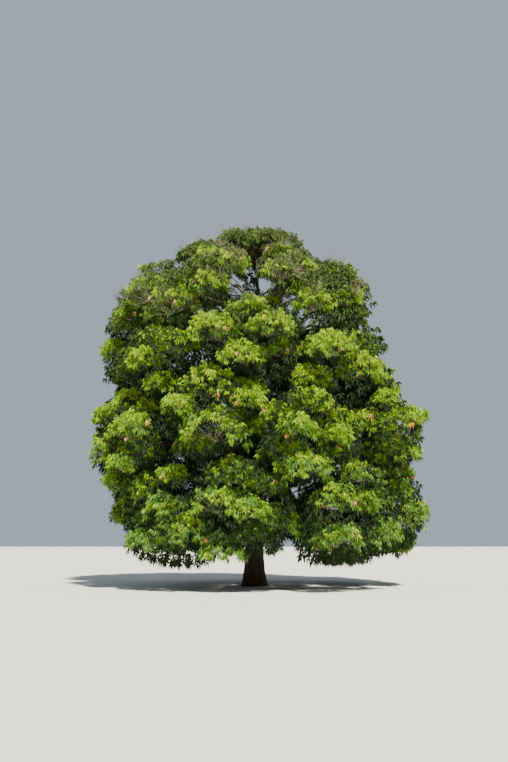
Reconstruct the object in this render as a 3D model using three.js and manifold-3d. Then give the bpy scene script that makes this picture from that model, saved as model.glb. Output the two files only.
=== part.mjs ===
// A full-grown mango tree that stands by itself: one stout trunk, boughs that leave it in five tiers,
// and a broad dome of dense, drooping foliage whose skirt hangs nearly to the ground.
// Millimetres, Z up. The origin is the middle of the flat cut under the trunk, at ground level.
// X runs across the crown's widest view, whose near side is -Y.
import * as THREE from "three";
import { mergeVertices } from "three/addons/utils/BufferGeometryUtils.js";
import Module from "manifold-3d";

const { sin, cos, sqrt, hypot, min, max, abs, floor, PI } = Math;
const wasm = await Module();
wasm.setup();

// The trunk: its size at the ground, at breast height and where it ends in the upper fork.
const TRUNK_HEIGHT = 9600;
const TRUNK_FOOT_RADIUS = 470;
const TRUNK_WAIST_RADIUS = 400;
const TRUNK_TIP_RADIUS = 150;
const TRUNK_LEAN = 260; // how far the tip stands to +X of the foot
const TRUNK_SWAY = 60; // how far it bends aside to Y on the way
const TRUNK_SWAY_SHARE = 0.75; // of half a wave, which the bend makes by the tip
const TRUNK_LEAN_LATE = 1.8; // 1 would be an even lean, more keeps it upright at first
const TRUNK_TAPER_POWER = 0.85; // 1 would be an even taper
const TRUNK_CROWDING = 1.5; // its rings stand closer together near the foot: 1 would be even
const FLARE_HEIGHT = 420; // the height in which the root flare dies away
const FLARE_REACH = 110;
const FLUTES = 5;
const FLUTE_TURN = 0.6; // radians
const TRUNK_SIDES = 15;
const TRUNK_STEPS = 9;

// The crown, from the skirt to the tier under the tuft. Heights and reaches are the foliage's outer
// ones: left, right and deep are how far a tier reaches to -X, to +X and to both sides of Y. The
// first mass of a tier and every other one after it stand higher than the rest, or lower where
// zigzag, which is half the step, is below 0. Each pair of masses hangs on one bough, which leaves
// the trunk at `from` with radius `thick`.
const TIERS = [
  { name: "skirt", count: 8, low: 800, high: 5200, left: 5900, right: 6950, deep: 5900,
    turn: 0.0, zigzag: 200, from: 2500, thick: 185 },
  { name: "low", count: 8, low: 3400, high: 8000, left: 6900, right: 7250, deep: 6200,
    turn: 0.4, zigzag: -350, from: 3900, thick: 190 },
  { name: "middle", count: 8, low: 6300, high: 10500, left: 6500, right: 6050, deep: 6050,
    turn: 0.0, zigzag: 400, from: 5700, thick: 165 },
  { name: "shoulder", count: 6, low: 8700, high: 12900, left: 6400, right: 5700, deep: 5500,
    turn: 0.0, zigzag: 450, from: 7500, thick: 135 },
  { name: "upper", count: 4, low: 10900, high: 14000, left: 5300, right: 4850, deep: 4500,
    turn: 0.75, zigzag: 300, from: 8700, thick: 105 },
];
const TOP = { low: 12100, high: 15050, across: 2450, deep: 2200, x: 150, seed: 997, power: 2.4 };
const TOP_BOUGH = { thick: 95, sway: 130, bends: [0.3, 0.7] };
const DOME = { eaves: 7000, high: 13850, left: 6900, right: 6200, deep: 6200, power: 2.8, tilt: 0.03 };
const MASS_DEPTH = 1750; // half of a mass, measured out from the trunk
const MASS_SPREAD = 1.5; // a mass is this much wider than its share of the tier
const MASS_POWER = 3.2; // a mass fills a rounded box: 2 would be an oval. The tuft has its own
const BOX_CORNER = 1.3; // no part of that box is farther off than this many of its half sizes
const STAGGER = 420; // masses also stand up to this far above or below by chance
const SWING = 0.11; // and are turned by up to this many radians
const SEED_STEPS = { tier: 31, stagger: 0.37, twig: 7 }; // they keep the draws by chance apart

// Ovals of sky under the tuft, as the eye in front of the tree sees them in the plane of the trunk.
// across and tall are their half sizes.
const EYE = { distance: 30000, height: 1600 };
const WINDOWS = [
  { x: -780, z: 12300, across: 320, tall: 700 },
  { x: 400, z: 12340, across: 640, tall: 430 },
  { x: 1500, z: 11900, across: 360, tall: 200 },
];

// A bough is one tapering limb that ends where it enters its masses.
const BOUGH_SIDES = 6;
const BOUGH_STEPS = 5;
const BOUGH_TAPER = 0.5; // its tip's radius, as a share of its foot's
const BOUGH_TAPER_POWER = 0.8; // 1 would be an even taper
const BOUGH_SHORT = 1700; // its tip is this far inside the middle of its masses
const BOUGH_BELOW = 650; // and this far below it
const BOUGH_APART = 260; // the boughs of one tier leave the trunk this far above each other
const BOUGH_BENDS = [{ out: 0.35, up: 0.25 }, { out: 0.72, up: 0.72 }]; // shares of its way out and up
const BOUGH_ARCH = 250; // it bows up this much before its tip
const LIMB_SAMPLES = 24; // places along a limb at which foliage is kept off it

// Foliage: a core that stands for the leaves too deep to see, and twigs that carry drooping sprays.
const CORE_SHARE = 0.74; // of the way from the middle of a mass to the wall of its space
const CORE_LUMPS = 0.14;
const CORE_LUMP_PITCH = [4.1, 5.3];
const ARM = { least: 0.3, most: 1.2, step: 0.02 }; // how the wall of a space is found, in half sizes
const STEM_FOOT = 0.95; // a mass's stem leaves its bough at this share of the bough's length
const STEM_RADIUS = 52;
const STEM_TIP_RADIUS = 36;
const STEM_ASIDE = 1.05; // of its radius: how far it stands aside from its bough's middle
const TWIG_RADIUS = 42;
const TWIG_TIP_RADIUS = 30;
const TWIG_SHARE = { up: 0.95, level: 0.9, down: 0.88 }; // of the way to the wall, by the twig's rise
const TWIGS_TRIED = 17;
const TWIG_STRIDE = 7; // the order in which they are tried
const TWIGS_KEPT = 5;
const TWIG_RISES = [0.96, -0.5]; // the steepest one up and down
const SPRAYS_PER_TWIG = 2;
const SPRAYS_LEAST = 2; // a twig with fewer that fit is left out
const SPRAY_FAN = 1.5; // radians between the sprays of one twig
const SPRAY_LENGTHS = [1500, 1200, 900]; // the longest that its space allows
const SPRAY_LIFTS = [1, 0.7, 0.4, 0.1]; // shares of its droop that are tried, so that it clears the core
const SPRAY_ROUND = 0.6; // a twig that rises more than this has its sprays all round it
const SPRAY_SWING = 0.25; // a spray is turned by up to this many radians
const SPRAY_WIDEST = 0.4; // the place where it is widest, as a share of its length
const SPRAY_WIDTH_SHARE = 0.5; // of its length
const SPRAY_THICKNESS_SHARE = 0.03;
const SPRAY_SUNK = 60; // how far inside the twig's tip the first spray's root lies
const SPRAY_APART = 90; // from one root to the next along the twig
const SPRAY_DROOP = { up: 0.4, level: 1.0, down: 1.3 }; // radians below the horizon
const SPRAY_BEND = { root: 0.7, tip: 1.2, steepest: 1.5 }; // shares of its droop, and the most in radians
const GOLDEN_ANGLE = PI * (3 - sqrt(5));
const SLIVER = 16; // details finer than this are smoothed away

const WELD = 0.01; // corners this close are one
const CLEAR = 0.4; // gap between neighbouring solids
const OWN_SPACE = 12; // foliage keeps this far inside the faces of its own space

const BARK = new THREE.MeshStandardMaterial({ color: 0x4a4038, roughness: 0.95, metalness: 0 });
const LIMB = new THREE.MeshStandardMaterial({ color: 0x6f665b, roughness: 0.9, metalness: 0 });
const LEAVES = new THREE.MeshStandardMaterial({ color: 0x5a8a24, roughness: 0.5, metalness: 0 });

const vec = (x, y, z) => new THREE.Vector3(x, y, z);
const mix = (a, b, t) => a + (b - a) * t;

// A repeatable number from -1 to 1 for any seed.
function chance(seed) {
  const s = sin(seed * 12.9898) * 43758.5453;
  return 2 * (s - floor(s)) - 1;
}

// A closed three.js geometry as a solid that can be joined and cut.
function solidOf(geometry) {
  geometry.deleteAttribute("normal");
  geometry.deleteAttribute("uv");
  const merged = mergeVertices(geometry, WELD);
  return new wasm.Manifold(
    new wasm.Mesh({
      numProp: 3,
      vertProperties: new Float32Array(merged.attributes.position.array),
      triVerts: new Uint32Array(merged.index.array),
    }),
  );
}

function geometryOf(solid) {
  const made = solid.getMesh();
  const geometry = new THREE.BufferGeometry();
  geometry.setAttribute("position", new THREE.BufferAttribute(made.vertProperties, 3));
  geometry.setIndex(new THREE.BufferAttribute(made.triVerts, 1));
  return geometry;
}

// The largest body of a solid; loose scraps are dropped and hollows sealed inside it are filled.
const largestOf = (solid) => solid.decompose().sort((a, b) => b.volume() - a.volume())[0];

// A solid as a named mesh. Its corners are welded before the largest body is taken a second time,
// because bodies that only touch at a corner come apart there.
function meshOf(name, solid, material) {
  const welded = solidOf(geometryOf(largestOf(solid)));
  const geometry = geometryOf(largestOf(welded));
  geometry.computeVertexNormals();
  const mesh = new THREE.Mesh(geometry, material);
  mesh.name = name;
  return mesh;
}

// A cylinder bent along a curve: its rings stand square to the curve, or level where `level` is set.
// radiusAt takes the share of the way along and the angle round. grown makes it larger all over.
function limbSolid({ curve, radiusAt, sides, steps, level = false }, grown = 0) {
  const geometry = new THREE.CylinderGeometry(1, 1, 1, sides, steps);
  const frames = curve.computeFrenetFrames(steps);
  const at = geometry.attributes.position;
  for (let i = 0; i < at.count; i++) {
    const x = at.getX(i);
    const z = at.getZ(i);
    const ring = Math.round((at.getY(i) + 0.5) * steps);
    const t = ring / steps;
    const across = level ? vec(1, 0, 0) : frames.normals[ring];
    const beside = level ? vec(0, 1, 0) : frames.binormals[ring];
    const along = level ? vec(0, 0, 1) : frames.tangents[ring];
    const radius = radiusAt(t, Math.atan2(-z, x)) + grown;
    const end = ring === 0 ? -grown : ring === steps ? grown : 0;
    const point = curve.getPoint(t);
    point.addScaledVector(across, x * radius);
    point.addScaledVector(beside, -z * radius);
    point.addScaledVector(along, end);
    at.setXYZ(i, point.x, point.y, point.z);
  }
  return solidOf(geometry);
}

// The trunk's middle line. It rises straight from the ground and then leans.
class TrunkLine extends THREE.Curve {
  getPoint(t, target = vec(0, 0, 0)) {
    const rise = t ** TRUNK_CROWDING;
    const lean = TRUNK_LEAN * rise ** TRUNK_LEAN_LATE;
    return target.set(lean, TRUNK_SWAY * sin(TRUNK_SWAY_SHARE * PI * rise), TRUNK_HEIGHT * rise);
  }
}

function trunkRadius(t, angle) {
  const height = TRUNK_HEIGHT * t ** TRUNK_CROWDING;
  const taper = mix(TRUNK_WAIST_RADIUS, TRUNK_TIP_RADIUS, (height / TRUNK_HEIGHT) ** TRUNK_TAPER_POWER);
  const foot = Math.exp(-height / FLARE_HEIGHT);
  const flutes = 1 + cos(FLUTES * angle + FLUTE_TURN);
  return taper + foot * (TRUNK_FOOT_RADIUS - TRUNK_WAIST_RADIUS + (FLARE_REACH * flutes) / 2);
}

const trunk = {
  name: "trunk",
  curve: new TrunkLine(),
  radiusAt: trunkRadius,
  sides: TRUNK_SIDES,
  steps: TRUNK_STEPS,
  level: true,
};

const trunkAt = (height) => trunk.curve.getPoint((height / TRUNK_HEIGHT) ** (1 / TRUNK_CROWDING));

// How far a tier reaches in a direction: the edge of an oval with its own left, right and deep.
function reachOf(tier, angle) {
  const side = cos(angle) > 0 ? tier.right : tier.left;
  return 1 / hypot(cos(angle) / side, sin(angle) / tier.deep);
}

// The masses of one tier, evenly round the trunk and then swung and staggered a little.
function massesOf(tier, tierIndex) {
  return Array.from({ length: tier.count }, (_, i) => {
    const seed = SEED_STEPS.tier * tierIndex + i + 1;
    const angle = tier.turn + (2 * PI * i) / tier.count + SWING * chance(seed);
    const out = vec(cos(angle), sin(angle), 0);
    const reach = reachOf(tier, angle) - MASS_DEPTH;
    const half = (tier.high - tier.low) / 2;
    const centre = out.clone().multiplyScalar(reach);
    const stagger = STAGGER * chance(seed + SEED_STEPS.stagger);
    centre.z = tier.low + half + tier.zigzag * (i % 2 ? -1 : 1) + stagger;
    const spread = (MASS_SPREAD * PI * reach) / tier.count;
    return {
      name: `foliage_${tier.name}_${i + 1}`,
      seed,
      centre,
      axes: [out, vec(-out.y, out.x, 0), vec(0, 0, 1)],
      size: [MASS_DEPTH, spread, half],
      power: MASS_POWER,
      domed: true,
    };
  });
}

// One bough for a group of one or two masses. It leaves the trunk, swings out and turns up towards them.
function boughOf(tier, group, number) {
  const middle = group.reduce((sum, mass) => sum.add(mass.centre), vec(0, 0, 0)).divideScalar(group.length);
  const inward = vec(-middle.x, -middle.y, 0).normalize();
  const tip = middle.clone().addScaledVector(inward, BOUGH_SHORT);
  tip.z -= BOUGH_BELOW;
  const start = trunkAt(tier.from + BOUGH_APART * number);
  const way = tip.clone().sub(start);
  const bends = BOUGH_BENDS.map(({ out, up }) => start.clone().add(way.clone().multiply(vec(out, out, up))));
  bends[1].z += BOUGH_ARCH;
  return {
    name: `bough_${tier.name}_${number + 1}`,
    curve: new THREE.CubicBezierCurve3(start, ...bends, tip),
    radiusAt: (t) => tier.thick * mix(1, BOUGH_TAPER, t ** BOUGH_TAPER_POWER),
    sides: BOUGH_SIDES,
    steps: BOUGH_STEPS,
  };
}

const masses = [];
const boughs = [];
TIERS.forEach((tier, tierIndex) => {
  const made = massesOf(tier, tierIndex);
  masses.push(...made);
  for (let i = 0; i < made.length; i += 2) {
    const group = made.slice(i, i + 2);
    const bough = boughOf(tier, group, i / 2);
    for (const mass of group) {
      mass.bough = bough;
      mass.partner = group.find((other) => other !== mass);
    }
    boughs.push(bough);
  }
});

// The tuft at the top has a bough of its own, which carries the trunk's line on upwards.
const topMiddle = vec(TOP.x, 0, (TOP.low + TOP.high) / 2);
const topFoot = trunkAt(TRUNK_HEIGHT);
const topTip = topMiddle.clone().setZ(TOP.low);
const topBends = TOP_BOUGH.bends.map((share) => topFoot.clone().lerp(topTip, share));
topBends[0].x += TOP_BOUGH.sway;
topBends[1].x += TOP_BOUGH.sway;
topBends[1].y += TOP_BOUGH.sway / 2;
const topLeader = {
  name: "bough_top",
  curve: new THREE.CubicBezierCurve3(trunkAt(TRUNK_HEIGHT - TRUNK_TIP_RADIUS), ...topBends, topTip),
  radiusAt: (t) => TOP_BOUGH.thick * mix(1, BOUGH_TAPER, t),
  sides: BOUGH_SIDES,
  steps: BOUGH_STEPS,
};
boughs.push(topLeader);
masses.push({
  name: "foliage_top",
  seed: TOP.seed,
  centre: topMiddle,
  axes: [vec(1, 0, 0), vec(0, 1, 0), vec(0, 0, 1)],
  size: [TOP.across, TOP.deep, (TOP.high - TOP.low) / 2],
  power: TOP.power,
  domed: false,
  bough: topLeader,
});

// How far a mass reaches along a direction.
const supportOf = (mass, direction) =>
  sqrt(mass.axes.reduce((sum, axis, k) => sum + (mass.size[k] * axis.dot(direction)) ** 2, 0));

// The flat faces between a mass's own space and its neighbours', each shared out by their sizes.
function facesOf(mass) {
  return masses
    .filter((other) => other !== mass)
    .map((other) => {
      const normal = other.centre.clone().sub(mass.centre);
      const apart = normal.length();
      normal.normalize();
      const mine = supportOf(mass, normal);
      return { normal, far: (apart * mine) / (mine + supportOf(other, normal)) - OWN_SPACE };
    })
    .filter((face) => face.far < max(...mass.size) * BOX_CORNER);
}

// Whether a point is under the dome that closes the crown above its eaves. It slopes down to +X.
function underDome({ x, y, z }) {
  const out = hypot(x / (x > 0 ? DOME.right : DOME.left), y / DOME.deep);
  const up = max(0, z + DOME.tilt * x - DOME.eaves) / (DOME.high - DOME.eaves);
  return up === 0 || out ** DOME.power + up ** DOME.power <= 1;
}

// Whether a point lies on a line of sight through a window of sky.
function inWindow({ x, y, z }) {
  const near = (EYE.distance + y) / EYE.distance;
  const seenX = x / near;
  const seenZ = EYE.height + (z - EYE.height) / near;
  return WINDOWS.some((oval) => hypot((seenX - oval.x) / oval.across, (seenZ - oval.z) / oval.tall) < 1);
}

// Whether every point is in a mass's own space: its rounded box, on its side of each face.
function insideSpace(mass, points) {
  return points.every((point) => {
    const arm = point.clone().sub(mass.centre);
    const shares = mass.axes.map((axis, k) => abs(arm.dot(axis) / mass.size[k]) ** mass.power);
    const fill = shares[0] + shares[1] + shares[2];
    const walled = mass.faces.every((face) => arm.dot(face.normal) < face.far);
    return fill <= 1 && walled && !inWindow(point) && (!mass.domed || underDome(point));
  });
}

// Whether any point comes within `margin` of a limb.
function touchesLimb(limbs, points, margin) {
  return limbs.some((limb) =>
    limb.samples.some(({ point, radius }) => points.some((p) => p.distanceTo(point) < radius + margin)),
  );
}

// A straight three-sided twig that tapers.
const twigOf = (from, to, thick, thin) => ({
  curve: new THREE.LineCurve3(from, to),
  radiusAt: (t) => mix(thick, thin, t),
  sides: 3,
  steps: 1,
});

// A mass's stem, from inside the tip of its bough to the mass's middle. Where the bough carries two
// masses, their stems stand side by side.
function stemOf(mass) {
  const foot = mass.bough.curve.getPoint(STEM_FOOT);
  if (mass.partner) {
    const aside = mass.centre.clone().sub(mass.partner.centre).normalize();
    foot.addScaledVector(aside, STEM_RADIUS * STEM_ASIDE);
  }
  return twigOf(foot, mass.centre, STEM_RADIUS, STEM_TIP_RADIUS);
}

for (const mass of masses) {
  mass.stem = stemOf(mass);
  mass.faces = facesOf(mass);
}

const limbs = [trunk, ...boughs];
const stems = masses.map((mass) => mass.stem);
for (const limb of [...limbs, ...stems]) {
  limb.samples = Array.from({ length: LIMB_SAMPLES + 1 }, (_, k) => ({
    point: limb.curve.getPoint(k / LIMB_SAMPLES),
    radius: limb.radiusAt(k / LIMB_SAMPLES, 0),
  }));
}

// The arm from the middle of a mass to the wall of its space, along a direction in the mass's own axes.
function armToWall(mass, direction) {
  const whole = vec(0, 0, 0);
  mass.axes.forEach((axis, k) => whole.addScaledVector(axis, direction[k] * mass.size[k]));
  const reaches = (share) => insideSpace(mass, [mass.centre.clone().addScaledVector(whole, share)]);
  let share = ARM.least;
  while (share < ARM.most && reaches(share + ARM.step)) share += ARM.step;
  return whole.multiplyScalar(share);
}

// The core: a lumpy ball that fills a share of the mass's space.
function coreOf(mass) {
  const geometry = new THREE.IcosahedronGeometry(1, 1);
  const at = geometry.attributes.position;
  const [first, second] = CORE_LUMP_PITCH;
  for (let i = 0; i < at.count; i++) {
    const direction = [at.getX(i), at.getY(i), at.getZ(i)];
    const lump = abs(sin(first * direction[0] + mass.seed) * sin(second * direction[1] + 2 * mass.seed));
    const corner = armToWall(mass, direction).multiplyScalar(CORE_SHARE * (1 - CORE_LUMPS * lump));
    corner.add(mass.centre);
    at.setXYZ(i, corner.x, corner.y, corner.z);
  }
  return solidOf(geometry);
}

// A value that goes from `down` through `level` to `up` as a twig's rise goes from -1 to 1.
const byRise = ({ up, level, down }, rise) => (rise > 0 ? mix(level, up, rise) : mix(level, down, -rise));

// The corners of a spray of leaves: one long pointed blade of eight faces, widest before its middle.
// It leaves its root along `heading`, droops, and bends down more towards its tip.
function sprayCorners(root, heading, droop, length) {
  const out = vec(cos(heading), sin(heading), 0);
  const side = vec(-out.y, out.x, 0);
  const down = vec(0, 0, -1);
  const along = (slope, share) =>
    out.clone().multiplyScalar(cos(slope)).addScaledVector(down, sin(slope)).multiplyScalar(length * share);
  const middle = along(droop * SPRAY_BEND.root, SPRAY_WIDEST).add(root);
  const tip = along(min(droop * SPRAY_BEND.tip, SPRAY_BEND.steepest), 1 - SPRAY_WIDEST).add(middle);
  const face = tip.clone().sub(root).normalize().cross(side);
  const half = (length * SPRAY_WIDTH_SHARE) / 2;
  const deep = (length * SPRAY_THICKNESS_SHARE) / 2;
  return {
    "-1,0,0": root,
    "1,0,0": tip,
    "0,-1,0": middle.clone().addScaledVector(side, -half),
    "0,1,0": middle.clone().addScaledVector(side, half),
    "0,0,-1": middle.clone().addScaledVector(face, -deep),
    "0,0,1": middle.clone().addScaledVector(face, deep),
  };
}

function spraySolid(corners) {
  const geometry = new THREE.OctahedronGeometry(1, 0);
  const at = geometry.attributes.position;
  for (let i = 0; i < at.count; i++) {
    const key = [at.getX(i), at.getY(i), at.getZ(i)].map((v) => Math.round(v) + 0).join(",");
    const corner = corners[key];
    at.setXYZ(i, corner.x, corner.y, corner.z);
  }
  return solidOf(geometry);
}

// Whether every point stands clear of a mass's core.
function clearOfCore(mass, points) {
  return points.every((point) => {
    const arm = point.clone().sub(mass.centre);
    const direction = mass.axes.map((axis, k) => arm.dot(axis) / mass.size[k]);
    return arm.length() > CORE_SHARE * armToWall(mass, direction).length();
  });
}

// The sprays at the end of one twig, fanned round it. Each is the longest and lowest one that fits:
// inside the mass's space, off the limbs and clear of the core. One that never fits is skipped.
function spraysOf(mass, others, tip, arm, rise, seed) {
  const fanned = rise > SPRAY_ROUND ? (2 * PI) / SPRAYS_PER_TWIG : SPRAY_FAN;
  const back = arm.clone().normalize().negate();
  const fits = (corners) => {
    const points = Object.values(corners);
    const half = points[2].distanceTo(points[3]) / 2;
    const free = insideSpace(mass, points) && !touchesLimb(others, points, half);
    return free && clearOfCore(mass, points.slice(1));
  };
  return Array.from({ length: SPRAYS_PER_TWIG }, (_, k) => {
    const root = tip.clone().addScaledVector(back, SPRAY_SUNK + SPRAY_APART * k);
    const fan = (k - (SPRAYS_PER_TWIG - 1) / 2) * fanned + SPRAY_SWING * chance(seed + k);
    const heading = Math.atan2(arm.y, arm.x) + fan;
    const droop = byRise(SPRAY_DROOP, rise);
    return SPRAY_LENGTHS.flatMap((length) =>
      SPRAY_LIFTS.map((lift) => sprayCorners(root, heading, droop * lift, length)),
    ).find(fits);
  }).filter(Boolean);
}

// One mass: the stem from its bough's tip, the core, and twigs set evenly round it that end in sprays.
function foliageSolid(mass) {
  const pieces = [coreOf(mass), limbSolid(mass.stem)];
  const others = [...limbs, ...stems].filter((limb) => limb !== mass.bough && limb !== mass.stem);
  let kept = 0;
  for (let i = 0; i < TWIGS_TRIED && kept < TWIGS_KEPT; i++) {
    const place = (i * TWIG_STRIDE) % TWIGS_TRIED;
    const rise = mix(...TWIG_RISES, place / (TWIGS_TRIED - 1));
    const turn = GOLDEN_ANGLE * place;
    const level = sqrt(1 - rise * rise);
    const arm = armToWall(mass, [level * cos(turn), level * sin(turn), rise]);
    arm.multiplyScalar(byRise(TWIG_SHARE, rise));
    const tip = mass.centre.clone().add(arm);
    if (touchesLimb(limbs, [tip], 2 * TWIG_RADIUS)) continue;
    const sprays = spraysOf(mass, others, tip, arm, rise, mass.seed + SEED_STEPS.twig * place);
    if (sprays.length < SPRAYS_LEAST) continue;
    const twig = limbSolid(twigOf(mass.centre, tip, TWIG_RADIUS, TWIG_TIP_RADIUS));
    pieces.push(twig, ...sprays.map(spraySolid));
    kept++;
  }
  return wasm.Manifold.union(pieces).simplify(SLIVER);
}

const grown = new Map([...limbs, ...stems].map((limb) => [limb, limbSolid(limb, CLEAR)]));

// A solid cut clear of limbs and stems, so that a gap of CLEAR is left all round them.
const cutClear = (solid, cutters) =>
  wasm.Manifold.difference([solid, ...cutters.map((limb) => grown.get(limb))]);

const tree = new THREE.Group();
tree.add(meshOf(trunk.name, limbSolid(trunk), BARK));
boughs.forEach((bough, i) => {
  const solid = cutClear(limbSolid(bough), [trunk, ...boughs.slice(0, i)]);
  tree.add(meshOf(bough.name, solid, LIMB));
});
masses.forEach((mass) => {
  const cutters = [...limbs, ...stems.filter((stem) => stem !== mass.stem)];
  tree.add(meshOf(mass.name, cutClear(foliageSolid(mass), cutters), LEAVES));
});

export default tree;
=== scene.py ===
import bpy
import numpy as np
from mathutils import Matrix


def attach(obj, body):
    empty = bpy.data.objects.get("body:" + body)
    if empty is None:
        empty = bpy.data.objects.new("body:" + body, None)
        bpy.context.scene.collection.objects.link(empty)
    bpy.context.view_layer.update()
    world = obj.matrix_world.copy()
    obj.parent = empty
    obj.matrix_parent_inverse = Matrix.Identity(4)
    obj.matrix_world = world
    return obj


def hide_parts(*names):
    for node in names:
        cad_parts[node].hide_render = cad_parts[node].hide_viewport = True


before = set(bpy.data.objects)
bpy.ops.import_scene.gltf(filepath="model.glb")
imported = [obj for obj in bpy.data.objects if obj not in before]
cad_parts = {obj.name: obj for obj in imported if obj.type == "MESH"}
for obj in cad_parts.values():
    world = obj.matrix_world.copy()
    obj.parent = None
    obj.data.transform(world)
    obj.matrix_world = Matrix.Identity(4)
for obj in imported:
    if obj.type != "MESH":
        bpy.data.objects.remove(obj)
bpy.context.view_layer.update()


# The trunk: one stout stem, from a flat cut at the ground with a low root flare and shallow flutes
# to the upper fork. Its bark is split into upright plates. Its colours are the bark's own dark tone,
# darkened further with painted shade, as if in the crown's shadow. It is a tapering tube whose sides
# are pushed in and out by the flare, the flutes and the furrows.
TRUNK_HEIGHT = 9.6
TRUNK_FOOT_RADIUS = 0.47
TRUNK_WAIST_RADIUS = 0.40
TRUNK_TIP_RADIUS = 0.15
TRUNK_LEAN = 0.26
TRUNK_LEAN_LATE = 1.8
TRUNK_SWAY = 0.06
TRUNK_SWAY_TURN = 0.75 * np.pi
TRUNK_TAPER_POWER = 0.85
FLARE_HEIGHT = 0.42
FLARE_REACH = 0.11
FLUTES = 5
FLUTE_TURN = 0.6
TRUNK_FOLDS = {"depth": 0.018, "count": 7, "wander": 0.9, "along": 0.8}
TRUNK_SIDES = 120
TRUNK_RINGS = 130
TRUNK_PLATES = 23
TRUNK_FURROW_DEPTH = 0.028
FURROW_RISE = 1.35
FURROW_SWING = {"reach": 1.1, "along": 2.3, "twist": 1.7, "around": 2}
FURROW_WAVES = (
    {"reach": 0.7, "along": 6.1, "around": 3},
    {"reach": 0.35, "along": 14.3, "around": 5},
)
FURROW_POWER = 0.55
PLATE_BREAKS = {"along": 7.4, "twist": 2, "around": 3, "slant": 1.3, "power": 0.4, "depth": 0.28}
GRAIN_DRAWN = {"Scale": (1, 1, 0.28)}
GRAIN = {"Detail": 7, "Roughness": 0.66}
RIDGE_EDGE = {"From Min": 0.12, "From Max": 0.52}
LICHEN_PATCHES = {"Scale": 2.6, "Detail": 4}
LICHEN_EDGE = {"From Min": 0.56, "From Max": 0.7}
BARK_ROUGHNESS = {"To Min": 0.98, "To Max": 0.8}
BARK_BUMP = {"Strength": 0.6, "Distance": 0.02}
# The trunk's colours: the bark's own dark tone, darkened further with painted shade from the crown.
TRUNK_BARK_AND_SHADE = {
    "Ridge": (0.036, 0.023, 0.012, 1),
    "Furrow": (0.008, 0.005, 0.003, 1),
    "Lichen": (0.05, 0.042, 0.03, 1),
    "Lichen Cover": 0.35,
    "Grain Scale": 16.0,
}
TINY = 1e-9
LEAST_BEARING = 1e-6


def mix(a, b, share):
    """The value that lies `share` of the way from a to b."""
    return a + (b - a) * share


def unit(vectors):
    """Vectors divided by their own length."""
    return vectors / np.maximum(np.linalg.norm(vectors, axis=-1, keepdims=True), TINY)


def trunk_point(height):
    """The trunk's middle line: it leans to +X with a power of the height and sways once to +Y."""
    rise = np.asarray(height) / TRUNK_HEIGHT
    lean = TRUNK_LEAN * rise**TRUNK_LEAN_LATE
    sway = TRUNK_SWAY * np.sin(TRUNK_SWAY_TURN * rise)
    return np.stack([lean, sway, TRUNK_HEIGHT * rise], axis=-1)


def furrows(around, along, plates):
    """Bark relief, from 0 in a furrow to 1 on a ridge. It is the size of a sine that closes after
    `plates` plates round the limb, whose phase wanders with slow sines of the way along it, times
    a faint second sine that breaks the plates across."""
    swing = FURROW_SWING["twist"] * np.sin(FURROW_SWING["around"] * around)
    wander = FURROW_SWING["reach"] * np.sin(FURROW_SWING["along"] * along + swing)
    wander += sum(
        wave["reach"] * np.sin(wave["along"] * along + wave["around"] * around)
        for wave in FURROW_WAVES
    )
    upright = np.abs(np.sin(plates / 2 * around + wander)) ** FURROW_POWER
    slant = np.sin(PLATE_BREAKS["around"] * around + PLATE_BREAKS["slant"] * along)
    across = np.sin(PLATE_BREAKS["along"] * along + PLATE_BREAKS["twist"] * slant)
    broken = np.abs(across) ** PLATE_BREAKS["power"]
    return upright * (1 - PLATE_BREAKS["depth"] + PLATE_BREAKS["depth"] * broken)


def limb_skins(paths, radii):
    """Tubes round a batch of paths. paths holds limbs x rings x 3 points and radii limbs x rings x
    sides. Each ring stands square to its path: one of its axes is level and square to the limb's
    own bearing, or along Y where the limb is upright, and the other is square to that and to the
    path. Gives points and face arrays, with both ends closed by one flat face."""
    limbs, rings, sides = radii.shape
    along = unit(np.gradient(paths, axis=1))
    bearing = paths[:, -1] - paths[:, 0]
    flat = np.stack([-bearing[:, 1], bearing[:, 0], np.zeros(limbs)], axis=-1)
    flat[np.linalg.norm(flat, axis=-1) < LEAST_BEARING] = (0, 1, 0)
    level = np.broadcast_to(unit(flat)[:, None], along.shape)
    level = unit(level - along * (level * along).sum(-1, keepdims=True))
    square = np.cross(level, along)
    angle = np.linspace(0, 2 * np.pi, sides, endpoint=False)
    spokes = square[:, :, None] * np.cos(angle)[:, None] + level[:, :, None] * np.sin(angle)[:, None]
    points = paths[:, :, None] + spokes * radii[..., None]
    index = np.arange(limbs * rings * sides).reshape(limbs, rings, sides)
    turned = np.roll(index, -1, axis=2)
    walls = np.stack([index[:, :-1], turned[:, :-1], turned[:, 1:], index[:, 1:]], axis=-1)
    ends = np.concatenate([index[:, 0, ::-1], index[:, -1]])
    return points.reshape(-1, 3), [walls.reshape(-1, 4), ends]


def piece(name, points, faces, material, smooth=False):
    """An object whose mesh has these points and faces. faces is a list of arrays, each with one
    row of corners for every face."""
    mesh = bpy.data.meshes.new(name)
    corners = np.concatenate([rows.ravel() for rows in faces])
    sizes = np.concatenate([np.full(len(rows), rows.shape[1]) for rows in faces])
    mesh.vertices.add(len(points))
    mesh.vertices.foreach_set("co", points.astype(np.float32).ravel())
    mesh.loops.add(len(corners))
    mesh.loops.foreach_set("vertex_index", corners.astype(np.int32))
    mesh.polygons.add(len(sizes))
    mesh.polygons.foreach_set("loop_start", (np.cumsum(sizes) - sizes).astype(np.int32))
    mesh.polygons.foreach_set("use_smooth", np.full(len(sizes), smooth))
    mesh.update(calc_edges=True)
    mesh.materials.append(material)
    made = bpy.data.objects.new(name, mesh)
    bpy.context.scene.collection.objects.link(made)
    return made


def fill(node, values):
    """Sets a node's inputs to the values that stand under their names."""
    for name, value in values.items():
        node.inputs[name].default_value = value


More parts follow.
